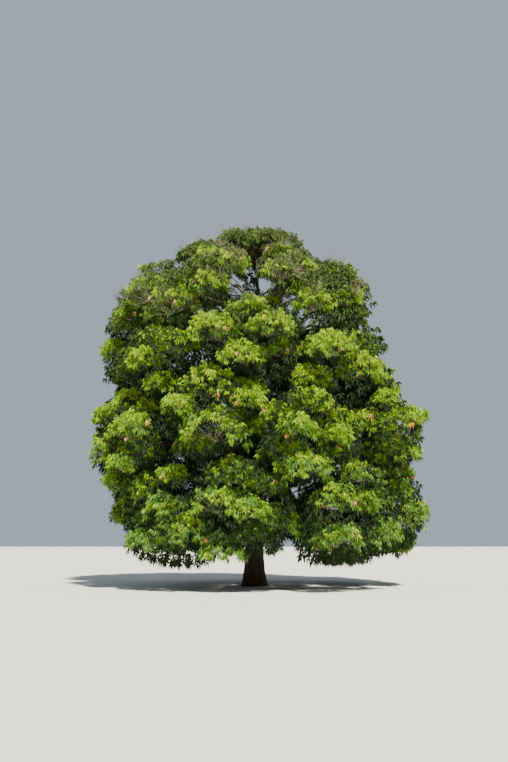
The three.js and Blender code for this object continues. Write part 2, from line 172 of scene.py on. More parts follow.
def weathered_bark():
    """A node group for bark. The colour goes from furrow to ridge with the mesh's own relief and a
    fine grain drawn out along the limb, and pale lichen sits on some ridges."""
    group = bpy.data.node_groups.new("Weathered bark", "ShaderNodeTree")
    for name, kind in (("Ridge", "Color"), ("Furrow", "Color"), ("Lichen", "Color"),
                       ("Lichen Cover", "Float"), ("Grain Scale", "Float")):
        group.interface.new_socket(name, in_out="INPUT", socket_type="NodeSocket" + kind)
    for name, kind in (("Color", "Color"), ("Roughness", "Float"), ("Height", "Float")):
        group.interface.new_socket(name, in_out="OUTPUT", socket_type="NodeSocket" + kind)
    nodes, link = group.nodes, group.links.new
    given = nodes.new("NodeGroupInput")
    made = nodes.new("NodeGroupOutput")
    place = nodes.new("ShaderNodeTexCoord")
    drawn = nodes.new("ShaderNodeMapping")
    fill(drawn, GRAIN_DRAWN)
    link(place.outputs["Object"], drawn.inputs["Vector"])
    grain = nodes.new("ShaderNodeTexNoise")
    fill(grain, GRAIN)
    link(drawn.outputs["Vector"], grain.inputs["Vector"])
    link(given.outputs["Grain Scale"], grain.inputs["Scale"])
    relief = nodes.new("ShaderNodeAttribute")
    relief.attribute_name = "relief"
    grained = nodes.new("ShaderNodeMath")
    grained.operation = "MULTIPLY"
    link(grain.outputs["Fac"], grained.inputs[0])
    link(relief.outputs["Fac"], grained.inputs[1])
    sharp = nodes.new("ShaderNodeMapRange")
    fill(sharp, RIDGE_EDGE)
    link(grained.outputs["Value"], sharp.inputs["Value"])
    plates = nodes.new("ShaderNodeMix")
    plates.data_type = "RGBA"
    link(sharp.outputs["Result"], plates.inputs["Factor"])
    link(given.outputs["Furrow"], plates.inputs["A"])
    link(given.outputs["Ridge"], plates.inputs["B"])
    patches = nodes.new("ShaderNodeTexNoise")
    fill(patches, LICHEN_PATCHES)
    link(place.outputs["Object"], patches.inputs["Vector"])
    cover = nodes.new("ShaderNodeMapRange")
    fill(cover, LICHEN_EDGE)
    link(patches.outputs["Fac"], cover.inputs["Value"])
    link(given.outputs["Lichen Cover"], cover.inputs["To Max"])
    grown = nodes.new("ShaderNodeMath")
    grown.operation = "MULTIPLY"
    link(cover.outputs["Result"], grown.inputs[0])
    link(sharp.outputs["Result"], grown.inputs[1])
    painted = nodes.new("ShaderNodeMix")
    painted.data_type = "RGBA"
    link(grown.outputs["Value"], painted.inputs["Factor"])
    link(plates.outputs["Result"], painted.inputs["A"])
    link(given.outputs["Lichen"], painted.inputs["B"])
    rough = nodes.new("ShaderNodeMapRange")
    fill(rough, BARK_ROUGHNESS)
    link(sharp.outputs["Result"], rough.inputs["Value"])
    link(painted.outputs["Result"], made.inputs["Color"])
    link(rough.outputs["Result"], made.inputs["Roughness"])
    link(grained.outputs["Value"], made.inputs["Height"])
    return group


def bark_material(name, looks):
    """A bark finish: the weathered bark group, with looks of its own, on one plain shader."""
    material = bpy.data.materials.new(name)
    material.use_nodes = True
    nodes, link = material.node_tree.nodes, material.node_tree.links.new
    shader = nodes["Principled BSDF"]
    bark = nodes.new("ShaderNodeGroup")
    bark.node_tree = BARK
    fill(bark, looks)
    bump = nodes.new("ShaderNodeBump")
    fill(bump, BARK_BUMP)
    link(bark.outputs["Height"], bump.inputs["Height"])
    link(bark.outputs["Color"], shader.inputs["Base Color"])
    link(bark.outputs["Roughness"], shader.inputs["Roughness"])
    link(bump.outputs["Normal"], shader.inputs["Normal"])
    return material


def carve(made, relief):
    """Keeps the bark's relief on the mesh, one number a point, for its material to read."""
    kept = made.data.attributes.new("relief", "FLOAT", "POINT")
    kept.data.foreach_set("value", relief.astype(np.float32).ravel())


BARK = weathered_bark()
trunk_heights = TRUNK_HEIGHT * np.linspace(0, 1, TRUNK_RINGS) ** FURROW_RISE
trunk_angle = np.linspace(0, 2 * np.pi, TRUNK_SIDES, endpoint=False)
trunk_foot = np.exp(-trunk_heights / FLARE_HEIGHT)[:, None]
trunk_flutes = 1 + np.cos(FLUTES * trunk_angle + FLUTE_TURN)
trunk_share = (trunk_heights / TRUNK_HEIGHT) ** TRUNK_TAPER_POWER
trunk_taper = mix(TRUNK_WAIST_RADIUS, TRUNK_TIP_RADIUS, trunk_share)
trunk_radii = trunk_taper[:, None] + trunk_foot * (
    TRUNK_FOOT_RADIUS - TRUNK_WAIST_RADIUS + FLARE_REACH * trunk_flutes / 2
)
trunk_wander = TRUNK_FOLDS["wander"] * np.sin(TRUNK_FOLDS["along"] * trunk_heights[:, None])
trunk_folds = TRUNK_FOLDS["depth"] * np.cos(TRUNK_FOLDS["count"] * trunk_angle + trunk_wander)
trunk_relief = furrows(trunk_angle, trunk_heights[:, None], TRUNK_PLATES)
trunk_depth = TRUNK_FURROW_DEPTH * (trunk_taper / TRUNK_WAIST_RADIUS)[:, None]
trunk_radii = trunk_radii + trunk_folds + trunk_depth * (trunk_relief - 1)
points, faces = limb_skins(trunk_point(trunk_heights)[None], trunk_radii[None])
points[:TRUNK_SIDES, 2] = 0
# The trunk's finish carries painted shade: its colours are much darker than the boughs' bark.
trunk = piece("bark_trunk", points, faces, bark_material("trunk_bark", TRUNK_BARK_AND_SHADE), smooth=True)
carve(trunk, trunk_relief)
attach(trunk, "root")
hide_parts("trunk")


# The boughs: tapering limbs of smoother, grey-tan wood in five tiers, with a leader that carries
# the trunk's line up to the tuft. Each swells where it leaves the trunk, swings out and turns up.
# They are tubes like the trunk, bent along curves of four points.
TIERS = (
    {"name": "skirt", "count": 8, "low": 0.8, "high": 5.2, "left": 5.9, "right": 6.95, "deep": 5.9,
     "turn": 0.0, "zigzag": 0.2, "leaves": 2.5, "thick": 0.185},
    {"name": "low", "count": 8, "low": 3.4, "high": 8.0, "left": 6.9, "right": 7.25, "deep": 6.2,
     "turn": 0.4, "zigzag": -0.35, "leaves": 3.9, "thick": 0.19},
    {"name": "middle", "count": 8, "low": 6.3, "high": 10.5, "left": 6.5, "right": 6.05, "deep": 6.05,
     "turn": 0.0, "zigzag": 0.4, "leaves": 5.7, "thick": 0.165},
    {"name": "shoulder", "count": 6, "low": 8.7, "high": 12.9, "left": 6.4, "right": 5.7, "deep": 5.5,
     "turn": 0.0, "zigzag": 0.45, "leaves": 7.5, "thick": 0.135},
    {"name": "upper", "count": 4, "low": 10.9, "high": 14.0, "left": 5.3, "right": 4.85, "deep": 4.5,
     "turn": 0.75, "zigzag": 0.3, "leaves": 8.7, "thick": 0.105},
)
TOP = {"low": 12.1, "high": 15.05, "across": 2.45, "deep": 2.2, "x": 0.15, "seed": 997, "power": 2.4}
TOP_BOUGH = {"thick": 0.095, "sway": 0.13, "bends": (0.3, 0.7), "forks": (0.1, 0.8)}
MASS_DEPTH = 1.75
MASS_SPREAD = 1.5
MASS_POWER = 3.2
STAGGER = 0.42
SWING = 0.11
MASS_SEEDS = {"tier": 31, "stagger": 0.37}
CHANCE_PITCH = 12.9898
CHANCE_STRETCH = 43758.5453
BOUGH_TAPER = 0.5
BOUGH_TAPER_POWER = 0.8
BOUGH_SHORT = 1.7
BOUGH_BELOW = 0.65
BOUGH_APART = 0.26
BOUGH_BENDS = ((0.35, 0.25), (0.72, 0.72))
BOUGH_ARCH = 0.25
BOUGH_FORKS = (0.72, 1.0)
BOUGH_RINGS = 44
BOUGH_SIDES = 18
BOUGH_PLATES = 9
BOUGH_FURROW_DEPTH = 0.006
BOUGH_FURROW_PITCH = 1.4
BOUGH_KNOBS = {"swell": 0.07, "along": 3.1, "turn": 1.7}
COLLAR_SWELL = 0.45
COLLAR_LENGTH = 0.3
LIMB_BARK = {
    "Ridge": (0.27, 0.235, 0.19, 1),
    "Furrow": (0.11, 0.092, 0.07, 1),
    "Lichen": (0.42, 0.4, 0.34, 1),
    "Lichen Cover": 0.6,
    "Grain Scale": 11.0,
}
UP = np.array((0.0, 0.0, 1.0))


def chance(seed):
    """A repeatable number from -1 to 1 for any seed: the part after the point of a fast and much
    stretched sine of it, doubled, less one. Seeds are stepped and shifted to keep draws apart."""
    wave = np.sin(np.asarray(seed) * CHANCE_PITCH) * CHANCE_STRETCH
    return 2 * (wave - np.floor(wave)) - 1


def masses_of(tier, order):
    """The masses of a tier, evenly round the trunk, then swung and staggered a little by chance.
    Each reaches the edge of an oval with its own left, right and deep."""
    seeds = MASS_SEEDS["tier"] * order + np.arange(tier["count"]) + 1
    even = 2 * np.pi * np.arange(tier["count"]) / tier["count"]
    angles = tier["turn"] + even + SWING * chance(seeds)
    out = np.stack([np.cos(angles), np.sin(angles), 0 * angles], axis=-1)
    side = np.where(out[:, 0] > 0, tier["right"], tier["left"])
    reach = 1 / np.hypot(out[:, 0] / side, out[:, 1] / tier["deep"]) - MASS_DEPTH
    half = (tier["high"] - tier["low"]) / 2
    step = tier["zigzag"] * (1 - 2 * (np.arange(tier["count"]) % 2))
    rise = tier["low"] + half + step + STAGGER * chance(seeds + MASS_SEEDS["stagger"])
    centres = out * reach[:, None] + UP * rise[:, None]
    return [
        {
            "node": f"foliage_{tier['name']}_{i + 1}",
            "seed": seeds[i],
            "centre": centres[i],
            "axes": np.stack([out[i], np.cross(UP, out[i]), UP]),
            "size": np.array((MASS_DEPTH, MASS_SPREAD * np.pi * reach[i] / tier["count"], half)),
            "power": MASS_POWER,
            "domed": True,
        }
        for i in range(tier["count"])
    ]


def bend(points, share):
    """Places along a smooth curve of three or four points: the sum of the points, weighted by the
    powers of the share of the way along and of what is left of it. points holds the curve's points
    in order, each one point or a batch of them."""
    share = np.asarray(share)[..., None]
    rest = 1 - share
    if len(points) == 3:
        return rest**2 * points[0] + 2 * rest * share * points[1] + share**2 * points[2]
    ends = rest**3 * points[0] + share**3 * points[3]
    return ends + 3 * rest**2 * share * points[1] + 3 * rest * share**2 * points[2]


def bough_of(tier, group, number):
    """The four points of the bough that carries a group of masses."""
    middle = np.mean([mass["centre"] for mass in group], axis=0)
    tip = middle - BOUGH_SHORT * unit(middle * (1, 1, 0)) - BOUGH_BELOW * UP
    start = trunk_point(tier["leaves"] + BOUGH_APART * number)
    bends = [start + (tip - start) * (out, out, up) for out, up in BOUGH_BENDS]
    bends[1] = bends[1] + UP * BOUGH_ARCH
    return [start, *bends, tip]


crown = []
boughs = []
for order, tier in enumerate(TIERS):
    made = masses_of(tier, order)
    for number in range(len(made) // 2):
        group = made[2 * number : 2 * number + 2]
        bough = {
            "node": f"bough_{tier['name']}_{number + 1}",
            "points": bough_of(tier, group, number),
            "thick": tier["thick"],
            "taper": BOUGH_TAPER_POWER,
        }
        boughs.append(bough)
        for mass in group:
            mass["bough"] = bough
            mass["forks"] = BOUGH_FORKS
    crown.append({"name": tier["name"], "masses": made})

top_middle = np.array((TOP["x"], 0, (TOP["low"] + TOP["high"]) / 2))
top_start = trunk_point(TRUNK_HEIGHT - TRUNK_TIP_RADIUS)
top_foot = trunk_point(TRUNK_HEIGHT)
top_tip = np.array((TOP["x"], 0, TOP["low"]))
top_bends = [mix(top_foot, top_tip, share) + (TOP_BOUGH["sway"], 0, 0) for share in TOP_BOUGH["bends"]]
top_bends[1][1] += TOP_BOUGH["sway"] / 2
boughs.append({
    "node": "bough_top",
    "points": [top_start, *top_bends, top_tip],
    "thick": TOP_BOUGH["thick"],
    "taper": 1,
})
tuft = {
    "node": "foliage_top",
    "seed": TOP["seed"],
    "centre": top_middle,
    "axes": np.eye(3),
    "size": np.array((TOP["across"], TOP["deep"], (TOP["high"] - TOP["low"]) / 2)),
    "power": TOP["power"],
    "domed": False,
    "bough": boughs[-1],
    "forks": TOP_BOUGH["forks"],
}
crown.append({"name": "top", "masses": [tuft]})

share = np.linspace(0, 1, BOUGH_RINGS)
bough_paths = np.stack([bend(bough["points"], share) for bough in boughs])
bough_lengths = np.linalg.norm(np.diff(bough_paths, axis=1), axis=-1).sum(1)
run = share * bough_lengths[:, None]
bough_order = np.arange(len(boughs))[:, None]
bough_tapers = [mix(1, BOUGH_TAPER, share ** bough["taper"]) for bough in boughs]
bough_radii = np.stack([bough["thick"] * taper for bough, taper in zip(boughs, bough_tapers)])
bough_radii *= 1 + COLLAR_SWELL * np.exp(-run / COLLAR_LENGTH)
bough_knobs = np.sin(BOUGH_KNOBS["along"] * run + BOUGH_KNOBS["turn"] * bough_order)
bough_radii *= 1 + BOUGH_KNOBS["swell"] * bough_knobs
bough_angle = np.linspace(0, 2 * np.pi, BOUGH_SIDES, endpoint=False)
bough_run = BOUGH_FURROW_PITCH * run + bough_order
bough_relief = furrows(bough_angle, bough_run[..., None], BOUGH_PLATES)
bough_skins = limb_skins(bough_paths, bough_radii[..., None] + BOUGH_FURROW_DEPTH * (bough_relief - 1))
limbs = piece("bark_boughs", *bough_skins, bark_material("limb_bark", LIMB_BARK), smooth=True)
carve(limbs, bough_relief)
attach(limbs, "root")
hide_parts(*[bough["node"] for bough in boughs])


# The crown's spaces: each mass of foliage keeps to a rounded box of its own, on its side of flat
# faces towards its neighbours, under the dome that closes the crown, and out of the windows of sky
# under the tuft and the notches at the crown's sides, as seen by an eye in front of the tree.
OWN_SPACE = 0.012
BOX_CORNER = 1.3
DOME = {"eaves": 7.0, "high": 13.85, "left": 6.9, "right": 6.2, "deep": 6.2, "power": 2.8, "tilt": 0.03}
DOME_LUMPS = {"count": 15, "depth": 0.03, "turn": 4.1, "inward": 0.7}
EYE = {"distance": 30.0, "height": 1.6}
WINDOWS = ((-0.78, 12.3, 0.32, 0.7), (0.4, 12.34, 0.64, 0.43), (1.5, 11.9, 0.36, 0.2))
NOTCHES = ((5.95, 9.25, 0.8, 0.5), (5.4, 10.95, 0.8, 0.22), (-6.4, 7.8, 0.8, 0.45))
WINDOW_RAGS = {"depth": 0.1, "count": 5, "turn": 2.2}
WINDOW_CLEAR = 0.25
CROWN_HEART = np.array((0.0, 0.0, 6.0))
ARM_LEAST = 0.3
ARM_MOST = 1.2
ARM_STEP = 0.02


def support_of(mass, directions):
    """How far a mass reaches along directions: the length of them in the mass's own half sizes."""
    return np.linalg.norm(directions @ mass["axes"].T * mass["size"], axis=-1)


def faces_of(mass, others):
    """The flat faces towards a mass's neighbours, as directions and distances from its middle. The
    way between two middles is shared out by how far each mass reaches along it."""
    between = np.array([other["centre"] - mass["centre"] for other in others])
    apart = np.linalg.norm(between, axis=1)
    normal = between / apart[:, None]
    mine = support_of(mass, normal)
    theirs = np.array([support_of(other, way) for other, way in zip(others, normal)])
    far = apart * mine / (mine + theirs) - OWN_SPACE
    near = far < mass["size"].max() * BOX_CORNER
    return normal[near], far[near]


def under_dome(points):
    """Whether points are under the dome: the powers of their shares of its reach out and up sum
    to no more than one. It slopes down to +X, and stands in lumps, more so higher up: its edge
    goes in and out with sines of the angles round the crown's heart, seen along Y and along X."""
    x, y, z = np.moveaxis(points, -1, 0)
    out = np.hypot(x / np.where(x > 0, DOME["right"], DOME["left"]), y / DOME["deep"])
    up = np.maximum(0, z + DOME["tilt"] * x - DOME["eaves"]) / (DOME["high"] - DOME["eaves"])
    angles = np.arctan2(z - CROWN_HEART[2], np.stack([x, y]))
    lumps = np.cos(DOME_LUMPS["count"] * angles + DOME_LUMPS["turn"]).sum(0) - DOME_LUMPS["inward"]
    edge = 1 + DOME_LUMPS["depth"] * up * lumps
    return (up == 0) | (out ** DOME["power"] + up ** DOME["power"] <= edge ** DOME["power"])


def in_window(points, margin):
    """Whether points lie on a line of sight through one of the ovals of sky, seen from the eye and
    measured in the plane of the trunk. Each oval is its middle's x and z and its half sizes, which
    a margin is added to, and its edge is ragged by a sine of the angle round it."""
    x, y, z = np.moveaxis(points, -1, 0)
    near = (EYE["distance"] + y) / EYE["distance"]
    seen = np.zeros(x.shape, bool)
    for middle_x, middle_z, half_x, half_z in WINDOWS + NOTCHES:
        across = (x / near - middle_x) / (half_x + margin)
        tall = (EYE["height"] + (z - EYE["height"]) / near - middle_z) / (half_z + margin)
        rags = np.sin(WINDOW_RAGS["count"] * np.arctan2(tall, across) + WINDOW_RAGS["turn"])
        edge = 1 - WINDOW_RAGS["depth"] * (1 + rags)
        seen |= np.hypot(across, tall) < edge
    return seen


def inside_space(mass, points, inset=0.0, crossing=0.0):
    """Whether points are in a mass's own space, drawn in from its outer walls by an inset. They may
    cross the flat faces towards its neighbours by a little."""
    arm = points - mass["centre"]
    fill = (np.abs(arm @ mass["axes"].T / (mass["size"] - inset)) ** mass["power"]).sum(-1)
    normal, far = mass["walls"]
    walled = (arm @ normal.T < far + crossing).all(-1)
    own = (fill <= 1) & walled & ~in_window(points, WINDOW_CLEAR * inset)
    return own & under_dome(points + inset * unit(points - CROWN_HEART)) if mass["domed"] else own


def arms_to_wall(mass, directions):
    """Arms from a mass's middle to the wall of its space, along directions in its own axes and half
    sizes. They grow in small steps for as long as their ends are inside."""
    whole = directions * mass["size"] @ mass["axes"]
    shares = np.arange(ARM_LEAST, ARM_MOST, ARM_STEP)
    ends = mass["centre"] + whole[:, None] * shares[:, None]
    reached = np.logical_and.accumulate(inside_space(mass, ends), axis=1).sum(1)
    return whole * shares[np.maximum(reached - 1, 0)][:, None]


every_mass = [mass for tier in crown for mass in tier["masses"]]
for mass in every_mass:
    mass["walls"] = faces_of(mass, [other for other in every_mass if other is not mass])


# The branches and twigs: slender tubes of pale wood, bent along curves of three points. From its
# bough's end each mass sends branches to clumps, domes of shoots near the walls of its space, and
# they divide into sprigs that hold tufts. Sprouts stand on the boughs and branches themselves.
GOLDEN_ANGLE = np.pi * (3 - np.sqrt(5))
WHOLE_BALL = (1.0, -1.0)
LEVEL_NUDGE = np.array((1e-4, 0, 0))
CLUMPS = 42
CLUMP_RISES = (0.96, -0.92)
CLUMP_RADIUS = 0.84
CLUMP_RADIUS_CHANCE = 0.35
CLUMP_APART = 1.06
CLUMP_FLAT = 0.82
CLUMP_INSET = 0.1
CLUMP_TO_FACE = {"least": 0.35, "slope": 2}
CLUMP_LEAST_SHARE = 0.12
CLUMP_BEHIND = 0.25
CLUMP_FACING = -0.15
CLUMPS_PER_BRANCH = 3
CLUMP_FORK_BELOW = 0.2
BRANCH_FORK_RING = 4
SPRIG_FORKS = 3
TUFTS = 40
TUFT_LOWEST = -0.3
TUFT_RADIUS = 0.2
TUFT_LUMPS = 0.16
TUFT_INSET = 0.3
TUFT_FACING = -0.3
TUFT_INNER_SHARE = 0.15
TUFT_LEAN = {"up": 0.4, "out": 0.3}
FACE_CROSSING = 0.4
SHOOTS = 4
SHOOT_TILT = 1.1
SHOOT_TILT_CHANCE = 0.2
SHOOT_INSET = 0.25
SHOOT_LIFT = 0.25
SHADE_SHOOTS = 4
SHADE_RISES = (1.0, -0.9)
SHADE_DEPTH = 0.5
SHADE_LIFT = 0.3
CORE_SHOOTS = 250
CORE_SHARES = (0.92, 0.66)
DRY_TIERS = ("shoulder", "upper", "top")
DRY_SHARE = 0.09
BOUGH_SPROUTS = 14
SPROUTS_FROM = 0.25
SPROUT_RINGS = slice(2, -1)
SPROUT_RISES = (0.8, -0.4)
SPROUT_REACH = (0.15, 1.1)
SPROUT_NEAR = 0.65
SPROUT_SHOOTS = 3
SPROUT_SHOOT_RISES = (1.0, -0.5)
SPROUT_RADIUS = 0.17
SPROUT_LIFT = 0.5
SEED_STEPS = {"clump": 7.0, "core": 0.83, "tuft": 0.61, "shoot": 1.7}
SEED_SHIFTS = {"behind": 1.9, "inner": 3.3, "dry": 8.8, "sprout": 5.3}
STEM = {"arch": 0.1, "out": 0.5, "rings": 7, "radii": (0.055, 0.04), "sides": 8}
BRANCH = {"arch": 0.24, "out": 0.25, "rings": 8, "radii": (0.036, 0.016), "sides": 5}
SIDE_BRANCH = {"arch": 0.1, "out": 0.5, "rings": 6, "radii": (0.018, 0.011), "sides": 4}
SPRIG = {"arch": 0.0, "out": 0.5, "rings": 2, "radii": (0.012, 0.007), "sides": 3}
SPROUT_STALK = {"arch": 0.1, "out": 0.5, "rings": 3, "radii": (0.012, 0.007), "sides": 3}
SHOOT_RADIUS = 0.009
SHOOT_SIDES = 3
TWIG_COLOR = (0.17, 0.145, 0.11)
TWIG_ROUGHNESS = 0.85


def golden(count, high, low, turn):
    """Directions spread evenly over a ball: their rise falls in even steps from high to low while
    they turn by the golden angle. turn is where each set of them starts."""
    around = GOLDEN_ANGLE * np.arange(count) + np.asarray(turn)[..., None]
    rise = np.linspace(high, low, count) + 0 * around
    level = np.sqrt(1 - rise**2)
    return np.stack([level * np.cos(around), level * np.sin(around), rise], axis=-1)


def basis(axes):
    """Two directions square to each axis and to each other: the level one, nudged a little so that
    an upright axis has one too, and the one square to it and to the axis."""
    level = np.stack([-axes[..., 1], axes[..., 0], 0 * axes[..., 2]], axis=-1)
    first = unit(level + LEVEL_NUDGE)
    return first, np.cross(axes, first)


def tilted(axes, tilt, around):
    """Directions tilted away from each axis by an angle, towards a bearing round it."""
    first, second = basis(axes)
    spread = np.cos(around)[..., None] * first[:, None] + np.sin(around)[..., None] * second[:, None]
    return np.cos(tilt)[..., None] * axes[:, None] + np.sin(tilt)[..., None] * spread


def facing_out(ways, places):
    """How far directions at places face out of the crown, from -1 to 1: the cosines of the angles
    between them and the ways there from the crown's heart."""
    return (ways * unit(places - CROWN_HEART)).sum(-1)


def clumps_of(mass, taken):
    """The clumps of a mass, in the source's even directions. Their far sides lie near the outer
    walls of its space and past the faces to its neighbours, or behind them by chance. Those on the
    side of the trunk are shaded, and so are those that stand too near to a sunny one before them,
    among the places in taken, which the new sunny ones join."""
    ways = golden(CLUMPS, *CLUMP_RISES, mass["seed"])
    arms = arms_to_wall(mass, ways)
    seeds = mass["seed"] + SEED_STEPS["clump"] * np.arange(CLUMPS)
    radii = CLUMP_RADIUS * (1 + CLUMP_RADIUS_CHANCE * chance(seeds))
    length = np.linalg.norm(arms, axis=1)
    rise = arms[:, 2] / length
    outward = facing_out(unit(arms), mass["centre"] + arms)
    reach = radii * np.hypot(np.sqrt(1 - rise**2), rise * np.where(rise > 0, CLUMP_FLAT, TUFT_LOWEST))
    reach *= np.clip(outward * CLUMP_TO_FACE["slope"], CLUMP_TO_FACE["least"], 1)
    shares = np.maximum(1 - (reach + CLUMP_INSET) / length, CLUMP_LEAST_SHARE)
    shares *= 1 - CLUMP_BEHIND * (1 + chance(seeds + SEED_SHIFTS["behind"])) / 2
    hearts = mass["centre"] + arms * shares[:, None]
    sunny = facing_out(unit(arms), hearts) > CLUMP_FACING
    for number in np.nonzero(sunny)[0]:
        apart = np.linalg.norm(np.array(taken) - hearts[number], axis=-1)
        sunny[number] = apart.min() > CLUMP_APART
        if sunny[number]:
            taken.append(hearts[number])
    return {"hearts": hearts, "radii": radii, "seeds": seeds, "sunny": sunny}


def shade_of(mass, clumps):
    """The shoots that hide the sky behind a mass: even directions over the source's core, a share
    of the way to the walls of the mass's space that is least where they face out of the crown, and
    even directions over a small ball in the heart of each sunny clump."""
    core_arms = arms_to_wall(mass, golden(CORE_SHOOTS, *WHOLE_BALL, mass["seed"]))
    facing = facing_out(unit(core_arms), mass["centre"] + core_arms)
    core = mass["centre"] + core_arms * mix(*CORE_SHARES, np.maximum(facing, 0))[:, None]
    sunny = clumps["sunny"]
    ways = golden(SHADE_SHOOTS, *SHADE_RISES, clumps["seeds"][sunny])
    inner = clumps["hearts"][sunny, None] + ways * SHADE_DEPTH * clumps["radii"][sunny, None, None]
    places = np.concatenate([core, inner.reshape(-1, 3)])
    ways = np.concatenate([unit(core_arms), ways.reshape(-1, 3)])
    seeds = mass["seed"] + SEED_STEPS["core"] * np.arange(len(places))
    fits = inside_space(mass, places, TUFT_INSET, FACE_CROSSING)
    lifted = unit(ways[fits] + SHADE_LIFT * UP)
    return {"places": places[fits], "ways": lifted, "seeds": seeds[fits]}


def tufts_of(mass, clumps, dry_share):
    """The tufts of the sunny clumps: even directions over a dome, mostly on the sides that face out
    of the crown. Each carries one shoot along its own axis and others tilted round it. What falls
    outside the mass's space is dropped."""
    sunny = clumps["sunny"]
    hearts, radii = clumps["hearts"][sunny], clumps["radii"][sunny]
    ways = golden(TUFTS, 1.0, TUFT_LOWEST, clumps["seeds"][sunny])
    seeds = clumps["seeds"][sunny][:, None] + SEED_STEPS["tuft"] * np.arange(TUFTS)
    reach = radii[:, None] * (1 + TUFT_LUMPS * chance(seeds))
    bases = hearts[:, None] + ways * (1, 1, CLUMP_FLAT) * (reach[..., None] - TUFT_RADIUS)
    facing = facing_out(ways, bases)
    inner = chance(seeds + SEED_SHIFTS["inner"]) < 2 * TUFT_INNER_SHARE - 1
    wanted = (facing > TUFT_FACING) | inner
    kept = wanted & inside_space(mass, bases, TUFT_INSET, FACE_CROSSING)
    clump = np.nonzero(kept)[0]
    bases, seeds, facing, ways = bases[kept], seeds[kept], facing[kept], ways[kept]
    outward = unit(bases - CROWN_HEART)
    axes = unit(ways + TUFT_LEAN["up"] * UP + TUFT_LEAN["out"] * outward)
    number = np.arange(1, SHOOTS)
    around = 2 * np.pi * number / (SHOOTS - 1) + np.pi * chance(seeds)[:, None]
    tilt = SHOOT_TILT * (1 + SHOOT_TILT_CHANCE * chance(seeds[:, None] + number))
    shoot_ways = np.concatenate([axes[:, None], tilted(axes, tilt, around)], axis=1)
    dry = chance(seeds + SEED_SHIFTS["dry"]) < 2 * dry_share - 1
    ends = bases[:, None] + TUFT_RADIUS * shoot_ways
    fits = inside_space(mass, ends, SHOOT_INSET, FACE_CROSSING) & ~dry[:, None]
    tuft, number = np.nonzero(fits)
    return {
        "clump": clump,
        "bases": bases,
        "places": ends[fits],
        "ways": unit(shoot_ways[fits] + SHOOT_LIFT * UP),
        "shoot_bases": bases[tuft],
        "seeds": seeds[tuft] + SEED_STEPS["shoot"] * number,
        "tuft_seeds": seeds[tuft],
        "facing": facing[tuft],
        "rise": ways[tuft][:, 2],
        "dry_bases": bases[dry],
        "dry_ways": axes[dry],
        "dry_seeds": seeds[dry],
    }


def sprouts_of(mass, branches):
    """Small sprays that stand on the mass's bough and branches themselves, in even directions round
    them, each with a few shoots. Only the short ones stand in the windows of sky."""
    on_bough = bend(mass["bough"]["points"], np.linspace(SPROUTS_FROM, 1, BOUGH_SPROUTS))
    bases = np.concatenate([on_bough, branches[:, SPROUT_RINGS].reshape(-1, 3)])
    ways = golden(len(bases), *SPROUT_RISES, mass["seed"])
    seeds = mass["seed"] + SEED_SHIFTS["sprout"] + np.arange(len(bases))
    reach = mix(*SPROUT_REACH, 0.5 + 0.5 * chance(seeds))
    places = bases + ways * reach[:, None]
    kept = ~in_window(places, WINDOW_CLEAR * SHOOT_INSET) | (reach < SPROUT_NEAR)
    shoot_ways = golden(SPROUT_SHOOTS, *SPROUT_SHOOT_RISES, seeds[kept])
    shoot_seeds = seeds[kept, None] + SEED_STEPS["shoot"] * np.arange(SPROUT_SHOOTS)
    shoots = places[kept, None] + SPROUT_RADIUS * shoot_ways
    return {
        "feet": bases[kept],
        "forks": places[kept],
        "bases": np.repeat(places[kept], SPROUT_SHOOTS, axis=0),
        "places": shoots.reshape(-1, 3),
        "ways": unit(shoot_ways + SPROUT_LIFT * UP).reshape(-1, 3),
        "seeds": shoot_seeds.ravel(),
    }


def arcs(start, end, limb):
    """Paths from starts to ends that bow upwards by the limb's arch, a share of their own length.
    The less their middle is out along the way, the steeper they start."""
    length = np.linalg.norm(end - start, axis=-1, keepdims=True)
    out = np.array((limb["out"], limb["out"], 0.5))
    middle = mix(start, end, out) + UP * limb["arch"] * length
    return bend([start[:, None], middle[:, None], end[:, None]], np.linspace(0, 1, limb["rings"]))


def tapered(paths, limb):
    """The skins of paths whose radius falls evenly from the first to the last of the limb's."""
    steps = np.linspace(*limb["radii"], limb["rings"])
    return limb_skins(paths, np.broadcast_to(steps[:, None], (*paths.shape[:2], limb["sides"])))


def spikes(starts, ends, radius):
    """Twigs of three faces each, from a triangle round the start to a point at the end."""
    first, second = basis(unit(ends - starts))
    corner = np.arange(SHOOT_SIDES)
    around = 2 * np.pi * corner[:, None] / SHOOT_SIDES
    feet = np.cos(around) * first[:, None] + np.sin(around) * second[:, None]
    points = np.concatenate([starts[:, None] + radius * feet, ends[:, None]], axis=1)
    sides = np.stack([corner, np.roll(corner, -1), np.full(SHOOT_SIDES, SHOOT_SIDES)], axis=-1)
    faces = sides + (SHOOT_SIDES + 1) * np.arange(len(starts))[:, None, None]
    return points.reshape(-1, 3), [faces.reshape(-1, 3)]


def joined(skins):
    """Several meshes' points and faces as one, each one's corners counted on from the last."""
    points, faces, count = [], [], 0
    for new_points, new_faces in skins:
        points.append(new_points)
        faces.extend(rows + count for rows in new_faces)
        count += len(new_points)
    return np.concatenate(points), faces


def plain_finish(name, color, roughness, shine=0.5):
    """A finish of one colour, roughness and shine all over."""
    material = bpy.data.materials.new(name)
    material.use_nodes = True
    looks = {"Base Color": (*color, 1), "Roughness": roughness, "Specular IOR Level": shine}
    fill(material.node_tree.nodes["Principled BSDF"], looks)
    return material


